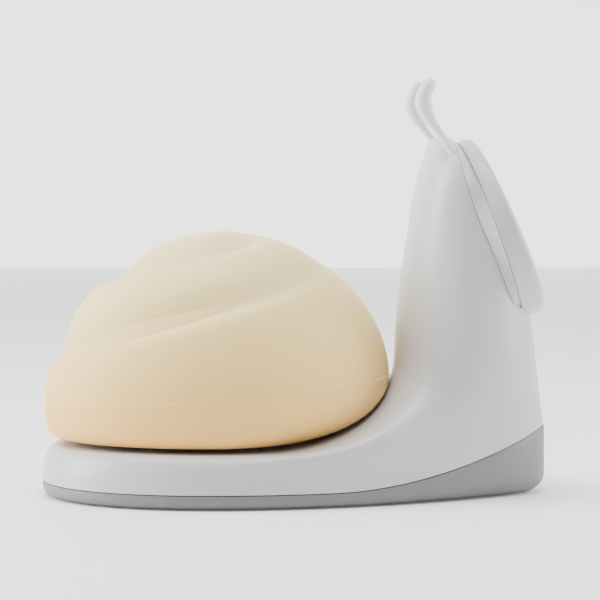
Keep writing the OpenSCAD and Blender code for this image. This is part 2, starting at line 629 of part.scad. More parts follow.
upper_housing();
lower_cover();
foot_pad();
housing_screws();
ballast_plate();
ballast_screws();
face_cap();
charge_pad();
magnet_ring();
charge_coil();
ferrite_disc();
coil_carrier();
coil_screw();
charger_board();
charger_board_screws();
tentacle_right();
tentacle_left();
tentacle_yoke();
shell_skin();
diffuser_dome();
shell_carrier();
carrier_screws();
carrier_clips();
spring_cups();
return_springs();
lamp_stand();
lamp_board();
lamp_leds();
lamp_board_screws();
press_switch();
switch_plunger();
main_board();
board_chips();
main_board_screws();
usb_inlet();
neck_cable();
lamp_cable();
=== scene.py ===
import math

import bmesh
import bpy
import numpy as np
from mathutils import Matrix, Vector


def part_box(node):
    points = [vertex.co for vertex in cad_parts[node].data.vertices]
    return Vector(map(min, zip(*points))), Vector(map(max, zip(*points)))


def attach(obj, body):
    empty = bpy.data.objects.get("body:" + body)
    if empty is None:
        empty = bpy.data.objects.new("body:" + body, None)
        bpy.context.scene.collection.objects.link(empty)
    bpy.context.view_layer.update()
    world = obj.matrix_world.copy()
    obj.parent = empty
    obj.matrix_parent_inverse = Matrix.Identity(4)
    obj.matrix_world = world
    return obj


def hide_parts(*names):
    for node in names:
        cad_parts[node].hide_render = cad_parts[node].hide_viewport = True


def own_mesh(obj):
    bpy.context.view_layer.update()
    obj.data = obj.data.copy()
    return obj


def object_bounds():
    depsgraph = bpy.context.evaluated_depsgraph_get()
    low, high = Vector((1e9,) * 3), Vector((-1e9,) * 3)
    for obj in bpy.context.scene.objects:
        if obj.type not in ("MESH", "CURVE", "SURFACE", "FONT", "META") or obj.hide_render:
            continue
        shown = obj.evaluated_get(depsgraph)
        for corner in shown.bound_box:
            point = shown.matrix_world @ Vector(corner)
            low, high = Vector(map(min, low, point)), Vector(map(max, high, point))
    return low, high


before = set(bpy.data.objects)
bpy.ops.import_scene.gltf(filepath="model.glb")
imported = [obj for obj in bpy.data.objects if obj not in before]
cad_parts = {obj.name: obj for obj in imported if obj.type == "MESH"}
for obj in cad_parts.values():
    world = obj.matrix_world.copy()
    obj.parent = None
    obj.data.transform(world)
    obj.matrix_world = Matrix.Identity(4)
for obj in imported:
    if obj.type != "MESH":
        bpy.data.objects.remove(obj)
cad_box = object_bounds()

MM = 0.001


# ---- The body's shape, in millimetres: the same rules as the CAD model's ----

FOOT_HALF_LEN = cad_box[1][0] / MM
FOOT_HALF_W = 46.6
EGG_SKEW = 15.9
DECK_Z = 16.2
WALL = 2.4
BASE_Z = 0.3
SEAM_LOW = 4.4              # parting line under the shell, and its climb to the chin
SEAM_RISE = 17.0
SEAM_START_X = 10.0
SEAM_RUN = 70.0
SEAM_POWER = 1.9
RIM_IN = 4.5                # rounding of the open deck's rim, inwards and downwards
RIM_DOWN = 9.0
EDGE_R_TAIL = 2.6           # bottom edge radius
EDGE_R_CHIN = 5.5
EDGE_START_X, EDGE_RUN = 10.0, 60.0
SEAM_GAP = 0.25
NECK_HALF_W = 27.0
NECK_BACK_X = 31.9
NECK_FOOT_Z = 42.0          # where the neck's back turns into the saddle
FRONT_GAP = 0.2
FRONT_LEAN = 0.125          # of the neck's front, back from the chin, as a slope
FRONT_LOW_Z = 20.0
BACK_CURVE = 0.005
BACK_POWER = 1.83
NAPE = 0.8                  # hollow behind the head, and the heights it comes in over
NAPE_Z, NAPE_RUN = 80.0, 15.0
SADDLE_R = 46.0             # reach of the saddle's sweep into the neck
SADDLE_TUCK = 10.0          # how quickly the sweep rounds in at its tail
CROWN_Z = 92.0              # where the head starts to round over
NECK_BLEND = 34.0           # height over which the egg in plan turns into the neck's outline
CREST_Z = 112.6
FACE_R = 30.0
FACE_TILT = math.radians(23.6)
FACE = Vector((68.05, 0, 85.5))
CAP_DEPTH = 10.6            # how far the face cap reaches back to the neck
INLET_W, INLET_H, INLET_Z = 9.6, 3.8, 8.8
LAMP_X = -36.0
CUP_REACH = 16.0            # from the lamp's post to the spring cups
PUSHER_REACH = 16.0         # and to the hole over the press switch
STAND_SCREW_Y = 5.8
RING_N = 192                # points round each ring of the body
TENTACLE_Y = 19.0
TENTACLE_LINE = np.array([[48.6, 0, 107.9], [41.3, 0, 118.9], [36.3, 0, 121.9], [41.2, 0, 129]], float)
ROOT_R = 1.5
SLOT_R = ROOT_R + 0.02      # the tentacles fill their slots
SLOT_STRETCH = 0.1
ROOT_LEAN = math.radians(6)
ROOT_DIR = np.array([math.sin(ROOT_LEAN), 0, math.cos(ROOT_LEAN)])


def ramp(f):
    g = np.clip(f, 0, 1)
    return g * g * (3 - 2 * g)


def lerp(a, b, f):
    return a + (b - a) * f


def turn_angles(n=RING_N):
    return np.arange(n) * 2 * np.pi / n


def egg_half_w(x):
    c = np.clip(x / FOOT_HALF_LEN, -1, 1)
    return (FOOT_HALF_W - EGG_SKEW * c) * np.sqrt(1 - c * c)


def foot_xy(t, inset):
    return (FOOT_HALF_LEN - inset) * np.cos(t), (FOOT_HALF_W - inset - EGG_SKEW * np.cos(t)) * np.sin(t)


def seam_z(x):
    return SEAM_LOW + SEAM_RISE * (np.maximum(0, x - SEAM_START_X) / SEAM_RUN) ** SEAM_POWER


def edge_r(x):
    return lerp(EDGE_R_TAIL, EDGE_R_CHIN, ramp((x - EDGE_START_X) / EDGE_RUN))


def front_x(z):
    return FOOT_HALF_LEN - FRONT_GAP - FRONT_LEAN * np.maximum(0, z - FRONT_LOW_Z)


def back_x(z):
    low = np.clip((NECK_FOOT_Z - z) / (NECK_FOOT_Z - DECK_Z), 0, 1)
    sweep = NECK_BACK_X - SADDLE_R * (1 - np.sqrt(1 - low * low))
    curve = BACK_CURVE * np.maximum(0, z - NECK_FOOT_Z) ** BACK_POWER
    return sweep + curve - NAPE * ramp((z - NAPE_Z) / NAPE_RUN)


def crown(z):
    return (1 - np.clip((z - CROWN_Z) / (CREST_Z - CROWN_Z), 0, 1) ** 3) ** (1 / 3)


def squareness(z):
    return lerp(2, 2.5, ramp((z - 60) / 40))


def neck_half(x, z):
    """Half-width of the neck at a place on its middle plane."""
    middle = (back_x(z) + front_x(z)) / 2
    reach = (front_x(z) - back_x(z)) / 2
    e = squareness(z)
    return NECK_HALF_W * crown(z) * np.maximum(0, 1 - (np.abs(x - middle) / reach) ** e) ** (1 / e)


def neck_ring(z, inset=0.0):
    t = turn_angles()
    xb = back_x(z) + inset
    xf = front_x(z) - inset
    middle = (xb + xf) / 2
    reach = (xf - xb) / 2
    power = 2 / squareness(z)
    c, s = np.cos(t), np.sin(t)
    x = middle + reach * c
    square_x = middle + reach * np.sign(c) * np.abs(c) ** power
    tuck = np.sqrt(np.maximum(0, 1 - (1 - np.minimum(1, (x - xb) / SADDLE_TUCK)) ** 2))
    egg_y = np.maximum(0, egg_half_w(x * FOOT_HALF_LEN / xf) - inset) * tuck * np.sign(s)
    neck_y = (NECK_HALF_W - inset) * crown(z) * np.sign(s) * np.abs(s) ** power
    f = ramp((z - DECK_Z) / NECK_BLEND)
    return np.stack([lerp(x, square_x, f), lerp(egg_y, neck_y, f), np.full_like(x, z - inset)], 1)


# ---- Making meshes ----

def mesh_object(name, points, faces, smooth=True):
    mesh = bpy.data.meshes.new(name)
    mesh.from_pydata([tuple(p) for p in points], [], faces)
    bm = bmesh.new()
    bm.from_mesh(mesh)
    bmesh.ops.recalc_face_normals(bm, faces=bm.faces)
    bm.to_mesh(mesh)
    bm.free()
    for polygon in mesh.polygons:
        polygon.use_smooth = smooth
    obj = bpy.data.objects.new(name, mesh)
    bpy.context.scene.collection.objects.link(obj)
    return obj


def loft(name, rings, closed=False):
    """Skin over rings of equal count, in mm.

    closed joins the last ring to the first; otherwise both ends are capped.
    """
    rings = [np.asarray(r, float) for r in rings]
    n, m = len(rings[0]), len(rings)
    points = np.concatenate(rings) * MM
    faces = []
    for j in range(m if closed else m - 1):
        k = (j + 1) % m
        faces += [(j * n + i, j * n + (i + 1) % n, k * n + (i + 1) % n, k * n + i) for i in range(n)]
    if not closed:
        middles = np.array([rings[0].mean(0), rings[-1].mean(0)]) * MM
        points = np.concatenate([points, middles])
        last = (m - 1) * n
        faces += [((i + 1) % n, i, n * m) for i in range(n)]
        faces += [(last + i, last + (i + 1) % n, n * m + 1) for i in range(n)]
    return mesh_object(name, points, faces)


def apply_modifier(obj, kind, **settings):
    modifier = obj.modifiers.new(kind, kind)
    for key, value in settings.items():
        setattr(modifier, key, value)
    depsgraph = bpy.context.evaluated_depsgraph_get()
    result = bpy.data.meshes.new_from_object(obj.evaluated_get(depsgraph))
    obj.modifiers.clear()
    old = obj.data
    obj.data = result
    bpy.data.meshes.remove(old)


def remove(obj):
    bpy.data.objects.remove(obj)


def boolean(obj, cutter, operation="DIFFERENCE"):
    """Cuts or joins with a helper object, which is then deleted."""
    apply_modifier(obj, "BOOLEAN", object=cutter, operation=operation, solver="MANIFOLD")
    remove(cutter)


def soften(obj, degrees=32):
    """Shades smooth, and keeps edges sharper than this crisp."""
    for polygon in obj.data.polygons:
        polygon.use_smooth = True
    obj.data.set_sharp_from_angle(angle=math.radians(degrees))


def cylinder(name, radius, low, high, n=96):
    t = turn_angles(n)
    ring = np.stack([radius * np.cos(t), radius * np.sin(t), np.zeros(n)], 1)
    return loft(name, [ring + [0, 0, low], ring + [0, 0, high]])


def box(name, low, high):
    x, y, z = [(low[k], high[k]) for k in range(3)]
    square = [(x[0], y[0]), (x[1], y[0]), (x[1], y[1]), (x[0], y[1])]
    return loft(name, [[(p[0], p[1], z[0]) for p in square], [(p[0], p[1], z[1]) for p in square]])


def place(obj, matrix):
    obj.data.transform(matrix)
    return obj


# The face's own frame: z out of the face, y up its slope
AT_FACE = (Matrix.Translation(FACE * MM)
           @ Matrix.Rotation(math.pi / 2 - FACE_TILT, 4, "Y")
           @ Matrix.Rotation(math.pi / 2, 4, "Z"))


# ---- Materials ----

def new_material(name, base, roughness, **sockets):
    """A principled material whose uniform values sit on the shader's own sockets."""
    material = bpy.data.materials.new(name)
    material.use_nodes = True
    shader = material.node_tree.nodes["Principled BSDF"]
    shader.inputs["Base Color"].default_value = (*base, 1)
    shader.inputs["Roughness"].default_value = roughness
    for socket, value in sockets.items():
        shader.inputs[socket.replace("_", " ")].default_value = value
    return material


def add_node(material, kind, **settings):
    node = material.node_tree.nodes.new(kind)
    for key, value in settings.items():
        setattr(node, key, value)
    return node


def noise(material, scale, detail=4.0, roughness=0.5):
    """Noise in object space, at this many features a metre."""
    coords = add_node(material, "ShaderNodeTexCoord")
    texture = add_node(material, "ShaderNodeTexNoise")
    texture.inputs["Scale"].default_value = scale
    texture.inputs["Detail"].default_value = detail
    texture.inputs["Roughness"].default_value = roughness
    material.node_tree.links.new(coords.outputs["Object"], texture.inputs["Vector"])
    return texture.outputs["Fac"]


def vary_colour(material, factor, low, high):
    """Base colour that drifts between two close colours."""
    mix = add_node(material, "ShaderNodeMix", data_type="RGBA")
    mix.inputs["A"].default_value = (*low, 1)
    mix.inputs["B"].default_value = (*high, 1)
    links = material.node_tree.links
    links.new(factor, mix.inputs["Factor"])
    links.new(mix.outputs["Result"], material.node_tree.nodes["Principled BSDF"].inputs["Base Color"])


def vary_roughness(material, factor, low, high):
    spread = add_node(material, "ShaderNodeMapRange")
    spread.inputs["To Min"].default_value = low
    spread.inputs["To Max"].default_value = high
    links = material.node_tree.links
    links.new(factor, spread.inputs["Value"])
    links.new(spread.outputs["Result"], material.node_tree.nodes["Principled BSDF"].inputs["Roughness"])


def add_bump(material, factor, distance, strength=1.0):
    bump = add_node(material, "ShaderNodeBump")
    bump.inputs["Distance"].default_value = distance
    bump.inputs["Strength"].default_value = strength
    links = material.node_tree.links
    links.new(factor, bump.inputs["Height"])
    links.new(bump.outputs["Normal"], material.node_tree.nodes["Principled BSDF"].inputs["Normal"])


def moulded(name, base, roughness, grain=2600, depth=0.00002, spread=0.02, **sockets):
    """Moulded plastic or silicone: a fine spark-eroded grain and a faint drift in tone and gloss."""
    material = new_material(name, base, roughness, **sockets)
    drift = noise(material, 28, 3)
    dark = tuple(max(0.0, c * (1 - spread)) for c in base)
    light = tuple(min(1.0, c * (1 + spread)) for c in base)
    vary_colour(material, drift, dark, light)
    fine = noise(material, grain, 2)
    vary_roughness(material, fine, roughness - 0.04, roughness + 0.05)
    add_bump(material, fine, depth)
    return material


def brushed_metal(name, base, roughness):
    material = new_material(name, base, roughness, Metallic=1.0)
    streaks = noise(material, 1800, 6)
    vary_roughness(material, streaks, roughness - 0.08, roughness + 0.12)
    add_bump(material, streaks, 0.00001)
    return material


def circuit_board(name, base):
    """Solder mask over a pattern of tracks."""
    material = new_material(name, base, 0.35, Coat_Weight=0.4, Coat_Roughness=0.15)
    coords = add_node(material, "ShaderNodeTexCoord")
    tracks = add_node(material, "ShaderNodeTexBrick")
    tracks.inputs["Scale"].default_value = 300
    tracks.inputs["Mortar Size"].default_value = 0.03
    tracks.inputs["Color1"].default_value = (*base, 1)
    tracks.inputs["Color2"].default_value = (*[c * 0.85 for c in base], 1)
    tracks.inputs["Mortar"].default_value = (*[min(1, c * 1.9 + 0.02) for c in base], 1)
    links = material.node_tree.links
    links.new(coords.outputs["Object"], tracks.inputs["Vector"])
    links.new(tracks.outputs["Color"], material.node_tree.nodes["Principled BSDF"].inputs["Base Color"])
    return material


WHITE = moulded("white_plastic_satin", (0.53, 0.53, 0.535), 0.36, depth=0.000015,
                Coat_Weight=0.06, Coat_Roughness=0.3)
INNER_WHITE = moulded("white_plastic_matte", (0.76, 0.76, 0.75), 0.5)
GREY = moulded("grey_plastic", (0.175, 0.178, 0.182), 0.42, spread=0.03)
PAD = moulded("pad_silicone", (0.62, 0.62, 0.63), 0.62, grain=3400, Subsurface_Weight=0.05)
PAD.node_tree.nodes["Principled BSDF"].inputs["Subsurface Radius"].default_value = (0.001, 0.001, 0.001)
TENTACLE = moulded("tentacle_silicone", (0.78, 0.78, 0.78), 0.4, Subsurface_Weight=0.6,
                   Subsurface_Scale=0.004, Coat_Weight=0.1)
TENTACLE.node_tree.nodes["Principled BSDF"].inputs["Subsurface Radius"].default_value = (0.5, 0.5, 0.5)
DIFFUSER = moulded("diffuser_plastic", (0.86, 0.84, 0.8), 0.3, Subsurface_Weight=0.4,
                   Subsurface_Scale=0.004)
FOOT_RUBBER = moulded("foot_rubber", (0.33, 0.33, 0.335), 0.75, grain=1500, depth=0.00005)
CABLE = moulded("cable_jacket", (0.5, 0.05, 0.04), 0.4)
FERRITE = moulded("ferrite", (0.03, 0.03, 0.033), 0.6)
BLACK = moulded("black_plastic", (0.02, 0.02, 0.02), 0.45)
STEEL = brushed_metal("steel", (0.6, 0.6, 0.62), 0.32)
MAGNET = brushed_metal("nickel_plate", (0.68, 0.66, 0.62), 0.2)
COPPER = brushed_metal("copper_wire", (0.72, 0.36, 0.2), 0.3)
BOARD = circuit_board("green_board", (0.015, 0.13, 0.05))
LAMP_BOARD = circuit_board("white_board", (0.72, 0.72, 0.7))
LED = moulded("led_phosphor", (0.85, 0.65, 0.2), 0.25, Coat_Weight=1.0)


def silicone():
    """Warm matte silicone with a powdery sheen. Its colour is painted darker and deeper towards the foot
    and paler on top. This is painted shade from the top light, and partly the silicone's own warm tone.
    """
    material = new_material("shell_silicone", (0.86, 0.71, 0.50), 0.55, Subsurface_Weight=0.12,
                            Subsurface_Scale=0.006, Sheen_Weight=0.04, Sheen_Roughness=0.5)
    shader = material.node_tree.nodes["Principled BSDF"]
    shader.inputs["Subsurface Radius"].default_value = (1.0, 0.7, 0.4)
    low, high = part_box("shell_skin")
    coords = add_node(material, "ShaderNodeTexCoord")
    split = add_node(material, "ShaderNodeSeparateXYZ")
    height = add_node(material, "ShaderNodeMapRange")
    height.inputs["From Min"].default_value = low.z
    height.inputs["From Max"].default_value = high.z
    links = material.node_tree.links
    links.new(coords.outputs["Object"], split.inputs["Vector"])
    links.new(split.outputs["Z"], height.inputs["Value"])
    drift = noise(material, 22, 3)
    tone = add_node(material, "ShaderNodeMath", operation="MULTIPLY_ADD")
    links.new(drift, tone.inputs[0])
    tone.inputs[1].default_value = 0.14
    links.new(height.outputs["Result"], tone.inputs[2])
    # Painted shade: the colour follows height, from deep orange at the foot to pale cream on top. It
    # stands in for the top light's fall and is partly the silicone's own tone. The noise adds a random
    # drift.
    vary_colour(material, tone.outputs["Value"], (0.95, 0.52, 0.11), (1.0, 0.82, 0.38))
    fine = noise(material, 3000, 2)
    vary_roughness(material, fine, 0.5, 0.6)
    add_bump(material, fine, 0.00002)
    return material


SILICONE = silicone()


def dress(obj, material):
    obj.data.materials.clear()
    obj.data.materials.append(material)


# ---- White upper housing ----

OPEN_DECK_X = -16.0         # the rim's rounding fades out from here towards the neck
OPEN_DECK_RUN = 20.0
JOIN_BOW = 3.3              # how far the join with the face cap comes forward at the crest
JOIN_START, JOIN_RUN = 2.0, 28.0
CAP_GAP = 0.15              # round the face cap
JOIN_LOW = -22.5            # lowest point of the join, measured up the face's slope

def seam_depth(up):
    """Depth of the join between neck and face cap, which comes forward towards the crest."""
    return CAP_DEPTH - JOIN_BOW * (np.clip(up - JOIN_START, 0, JOIN_RUN) / JOIN_RUN) ** 2


def seam_cutter():
    """Everything in front of the join, as a cutter in the face's own frame."""
    ups = np.linspace(JOIN_LOW, 40, 41)
    profile = [(up, -seam_depth(up) - CAP_GAP) for up in ups] + [(60, 60), (JOIN_LOW, 60)]
    return place(loft("in_front", [[(x, y, z) for y, z in profile] for x in (-60, 60)]), AT_FACE)


def root_slot(side):
    """Slot in the head that a tentacle comes out of."""
    t = turn_angles(48)
    x = SLOT_STRETCH * np.sign(np.cos(t)) + SLOT_R * np.cos(t)
    ring = np.stack([x, SLOT_R * np.sin(t), np.zeros(48)], 1)
    slot = loft("slot", [ring + [0, 0, -6], ring + [0, 0, 8]])
    root = Vector((TENTACLE_LINE[0][0], side * TENTACLE_Y, TENTACLE_LINE[0][2]))
    return place(slot, Matrix.Translation(root * MM) @ Matrix.Rotation(ROOT_LEAN, 4, "Y"))


def valley(obj, start, end, depth, radius):
    """Soft dent along a line, pressed in towards the middle plane."""
    count = len(obj.data.vertices)
    points = np.empty(count * 3)
    obj.data.vertices.foreach_get("co", points)
    points = points.reshape(-1, 3) / MM
    start, end = np.array(start, float), np.array(end, float)
    along = end - start
    f = np.clip((points - start) @ along / (along @ along), 0, 1)
    off = np.linalg.norm(points - start - f[:, None] * along, axis=1)
    points[:, 1] -= np.sign(points[:, 1]) * depth * (1 - 0.7 * f) * np.exp(-(off / radius) ** 2)
    obj.data.vertices.foreach_set("co", (points * MM).ravel())


def foot_solid(inset, low_z):
    """Prism of the foot's egg with a rounded rim where the deck is open to the shell."""
    t = turn_angles()
    x, y = foot_xy(t, inset)
    rings = [np.stack([x, y, np.full_like(x, low_z)], 1)]
    open_deck = 1 - ramp((x - OPEN_DECK_X) / OPEN_DECK_RUN)
    for a in np.radians(np.arange(0, 91, 10)):
        x, y = foot_xy(t, inset + max(0, RIM_IN - inset) * (1 - math.cos(a)) * open_deck)
        z = DECK_Z - inset - RIM_DOWN * (1 - math.sin(a))
        rings.append(np.stack([x, y, np.full_like(x, z)], 1))
    return loft("foot_solid", rings)


def neck_levels():
    sweep = [NECK_FOOT_Z - (NECK_FOOT_Z - DECK_Z) * math.sin(math.radians(a)) for a in range(87, 0, -3)]
    straight = list(np.arange(NECK_FOOT_Z + 1, CROWN_Z, 2.0))
    dome = [CROWN_Z + (CREST_Z - CROWN_Z) * math.sin(math.radians(a)) for a in range(0, 88, 3)]
    return [8.0, 12.0, DECK_Z] + sweep + straight + dome


def neck_solid(inset):
    return loft("neck_solid", [neck_ring(z, inset) for z in neck_levels()])


def below_seam(gap):
    """Everything under the parting line, as a cutter."""
    xs = np.linspace(-90, 90, 121)
    profile = [(x, seam_z(x) + gap) for x in xs] + [(90, -20), (-90, -20)]
    return loft("below_seam", [[(x, y, z) for x, z in profile] for y in (-70, 70)])


def inlet_cutter():
    """Stadium-shaped opening in the tail for the charging plug."""
    t = turn_angles(48)
    y = (INLET_W - INLET_H) / 2 * np.sign(np.cos(t)) + INLET_H / 2 * np.cos(t)
    z = INLET_Z + INLET_H / 2 * np.sin(t)
    tail = -FOOT_HALF_LEN
    return loft("inlet", [np.stack([np.full(48, x), y, z], 1) for x in (tail - 1, tail + 5)])


def deck_bore(x, y, radius):
    """Cutter for a round hole through the deck, under the shell."""
    bore = cylinder("bore", radius, DECK_Z - 7, DECK_Z + 4, 48)
    return place(bore, Matrix.Translation((x * MM, y * MM, 0)))


VOXEL = 0.0009              # metres, for melting foot and neck into one skin
VALLEY_START = (46.4, 20, 107.4)    # dent below each tentacle's root
VALLEY_END = (44.2, 22.5, 101.5)
VALLEY_DEPTH = 0.9
VALLEY_R = 2.2
STAND_SCREW_R = 1.3
CUP_BORE_R = 4.5
PUSHER_BORE_R = 2.8
CABLE_BORE_R = 2.5


def make_housing():
    body = foot_solid(0, 0.0)
    boolean(body, neck_solid(0), "UNION")
    body.data.remesh_voxel_size = VOXEL
    bpy.context.view_layer.objects.active = body
    bpy.ops.object.voxel_remesh()
    apply_modifier(body, "SMOOTH", factor=0.5, iterations=24)
    for side in (-1, 1):
        start, end = [(x, y * side, z) for x, y, z in (VALLEY_START, VALLEY_END)]
        valley(body, start, end, VALLEY_DEPTH, VALLEY_R)
    boolean(body, foot_solid(WALL, -1.0))
    boolean(body, neck_solid(WALL))
    boolean(body, below_seam(SEAM_GAP))
    pocket = cylinder("pocket", FACE_R + CAP_GAP, -CAP_DEPTH - 0.1, 60)
    boolean(pocket, box("above_join", (-60, JOIN_LOW + 1.5, -60), (60, 60, 70)))
    boolean(body, place(pocket, AT_FACE))
    boolean(body, seam_cutter())
    for side in (-1, 1):
        boolean(body, root_slot(side))
        boolean(body, deck_bore(LAMP_X, STAND_SCREW_Y * side, STAND_SCREW_R))
    for angle in np.radians([60, 180, 300]):
        x, y = LAMP_X + CUP_REACH * math.cos(angle), CUP_REACH * math.sin(angle)
        boolean(body, deck_bore(x, y, CUP_BORE_R))
    boolean(body, deck_bore(LAMP_X + PUSHER_REACH, 0, PUSHER_BORE_R))
    boolean(body, deck_bore(LAMP_X, 0, CABLE_BORE_R))
    boolean(body, inlet_cutter())
    body.name = "housing_skin"
    soften(body, 40)
    dress(body, WHITE)
    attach(body, "base")
    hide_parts("upper_housing")


make_housing()


# ---- Grey lower cover ----

PAD_INSET = 10.0            # foot pad, from the foot's outline
PAD_RECESS = 0.8


def make_cover():
    t = turn_angles()

    def rings(inset, angles):
        made = []
        for a in angles:
            x0 = FOOT_HALF_LEN * np.cos(t)
            r = np.maximum(0, edge_r(x0) - inset)
            x, y = foot_xy(t, inset + r * (1 - np.sin(a)))
            made.append(np.stack([x, y, BASE_Z + inset + r * (1 - np.cos(a)) * 0.98], 1))
        return made

    def level(inset, share):
        x, y = foot_xy(t, inset)
        low = BASE_Z + edge_r(FOOT_HALF_LEN * np.cos(t))
        return np.stack([x, y, lerp(low, seam_z(x), share)], 1)

    outside = rings(0, np.radians(np.arange(0, 91, 9)))
    outside += [level(0, 0.35), level(0, 0.7), level(0.02, 0.94), level(0.3, 1.0)]
    inside = [level(WALL, 1.0), level(WALL, 0.5)] + rings(WALL, np.radians([90, 60, 30, 0]))
    cover = loft("cover_skin", outside + inside)
    x, y = foot_xy(t, PAD_INSET)
    heights = (-1.0, BASE_Z + PAD_RECESS)
    recess = loft("recess", [np.stack([x, y, np.full_like(x, z)], 1) for z in heights])
    boolean(cover, recess)
    soften(cover, 40)
    dress(cover, GREY)
    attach(cover, "base")
    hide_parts("lower_cover")


make_cover()


# ---- Round face: cap, collar and charging pad, in the face's own frame ----

COLLAR_LOW = 22.0           # the collar follows the neck down to here, below the face's middle
COLLAR_DEPTH = 6.9
COLLAR_TILT = 3.8
LIP_R = 2.2
PLATE_TOP = -1.5
PLATE_LOW = -3.2


def face_ring(radius, height, tilt=0.0):
    t = turn_angles()
    r = np.broadcast_to(radius, t.shape)
    x, y = r * np.cos(t), r * np.sin(t)
    return np.stack([x, y * math.cos(tilt), height + y * math.sin(tilt)], 1)


def neck_section():
    """Polar outline of the neck, in the face's frame, where the join cuts it."""
    t = turn_angles()
    low, high = np.zeros(RING_N), np.full(RING_N, 45.0)
    for _ in range(30):
        r = (low + high) / 2
        up = r * np.sin(t)
        depth = seam_depth(up)
        x = FACE.x - depth * math.cos(FACE_TILT) - up * math.sin(FACE_TILT)
        z = FACE.z - depth * math.sin(FACE_TILT) + up * math.cos(FACE_TILT)
        half = neck_half(x, np.minimum(z, CREST_Z - 0.05))
        inside = (z < CREST_Z - 0.05) & (np.abs(r * np.cos(t)) < half)
        low, high = np.where(inside, r, low), np.where(inside, high, r)
    return low


def make_face_cap():
    t = turn_angles()
    droop = COLLAR_LOW / np.maximum(0.01, -np.sin(t))
    back = np.minimum(neck_section(), np.where(np.sin(t) < 0, np.maximum(FACE_R, droop), 99))
    join_z = -seam_depth(back * np.sin(t))
    tilt = math.radians(COLLAR_TILT)
    outside = [face_ring(back - 0.2, join_z), face_ring(back, join_z + 0.2)]
    for f in (0.25, 0.5, 0.75, 1.0):
        front = face_ring(FACE_R - 0.4, -COLLAR_DEPTH, tilt)
        outside.append(lerp(outside[1], front, f))
    outside.append(face_ring(FACE_R - 0.75, -COLLAR_DEPTH + 0.15, tilt * 0.97))
    outside.append(face_ring(FACE_R - 0.05, -COLLAR_DEPTH + 0.45, tilt * 0.9))
    outside.append(face_ring(FACE_R, -4.4, tilt * 0.4))
    outside.append(face_ring(FACE_R, -LIP_R))
    for a in np.radians(np.arange(10, 91, 10)):
        outside.append(face_ring(FACE_R - LIP_R * (1 - math.cos(a)), -LIP_R * (1 - math.sin(a))))
    for a in np.radians([30, 60, 90]):
        outside.append(face_ring(FACE_R - LIP_R - 0.4 * math.sin(a), -0.4 * (1 - math.cos(a))))
    outside.append(face_ring(FACE_R - 2.6, PLATE_TOP))
    outside.append(face_ring(8, PLATE_TOP))
    inside = [face_ring(8, PLATE_LOW), face_ring(FACE_R - 2.6, PLATE_LOW), face_ring(FACE_R - 2.6, -6.6)]
    inside.append(face_ring(FACE_R - 6.4, -CAP_DEPTH))
    cap = loft("cap_skin", inside + outside)
    place(cap, AT_FACE)
    for side in (-1, 1):
        boolean(cap, root_slot(side))
    soften(cap, 38)
    dress(cap, WHITE)
    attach(cap, "base")
    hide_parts("face_cap")


make_face_cap()

PAD_GROOVES = (22.6, 11.6)  # outer radii of the two shallow rings
GROOVE_DEPTH = 0.22


def make_charge_pad():
    radius, top, low = FACE_R - 2.75, -0.4, PLATE_TOP + 0.02
    profile = [(6, low), (radius, low), (radius, top - 0.35), (radius - 0.1, top - 0.1)]
    profile += [(radius - 0.35, top)]
    for groove in PAD_GROOVES:
        floor = top - GROOVE_DEPTH
        profile += [(groove, top), (groove - 0.1, floor), (groove - 0.5, floor), (groove - 0.6, top)]
    profile += [(4, top)]
    pad = loft("pad_skin", [face_ring(r, z) for r, z in profile])
    place(pad, AT_FACE)
    soften(pad, 60)
    dress(pad, PAD)
    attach(pad, "base")
    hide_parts("charge_pad")


make_charge_pad()


# ---- Tentacles ----

ROOT_DEPTHS = (-13.6, -12.3, -12.1, -8, -4, -1)     # along the root, down into the head
BARB = 0.5                  # extra radius of the root's end, which holds it in the yoke
BARB_DEPTH = -12.2


def bezier(points, f):
    weights = [(1 - f) ** 3, 3 * f * (1 - f) ** 2, 3 * f * f * (1 - f), f ** 3]
    return sum(w * p for w, p in zip(weights, points))


def sweep(name, line, radii, n=32):
    """Round bar along a line in the x-z plane."""
    line = np.asarray(line, float)
    t = turn_angles(n)
    rings = []
    for i, r in enumerate(radii):
        along = line[min(len(line) - 1, i + 1)] - line[max(0, i - 1)]
        side = np.array([along[2], 0, -along[0]]) / np.linalg.norm(along)
        rings.append(line[i] + r * (np.outer(np.cos(t), side) + np.outer(np.sin(t), [0, 1, 0])))
    return loft(name, rings)


def tentacle_radius(f):
    """Radius at a share of the stalk's length: a waist, a bulb, and a smaller tip."""
    waist = ramp(f / 0.2)
    bulb = ramp((f - 0.2) / 0.45)
    tip = ramp((f - 0.7) / 0.3)
    return ROOT_R - 0.2 * waist + 1.3 * bulb - 0.5 * tip


def make_tentacle(side, node):
    steps = np.linspace(0, 1, 49)
    line = [TENTACLE_LINE[0] + d * ROOT_DIR for d in ROOT_DEPTHS]
    line += [bezier(TENTACLE_LINE, f) for f in steps]
    radii = [ROOT_R + (BARB if d < BARB_DEPTH else 0) for d in ROOT_DEPTHS]
    radii += [tentacle_radius(f) for f in steps]
    tip_r = tentacle_radius(1.0)
    for a in np.radians(np.arange(8, 89, 8)):
        line.append(TENTACLE_LINE[3] + np.array([0.1, 0, 0.98]) * tip_r * math.sin(a))
        radii.append(tip_r * math.cos(a))
    stalk = sweep(node + "_skin", line, radii)
    stalk.data.transform(Matrix.Translation((0, side * TENTACLE_Y * MM, 0)))
    soften(stalk, 60)
    dress(stalk, TENTACLE)
    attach(stalk, "base")
    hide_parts(node)


make_tentacle(-1, "tentacle_right")
make_tentacle(1, "tentacle_left")


# ---- Shell: an egg dome on a tilted girth, with one spiral furrow ----

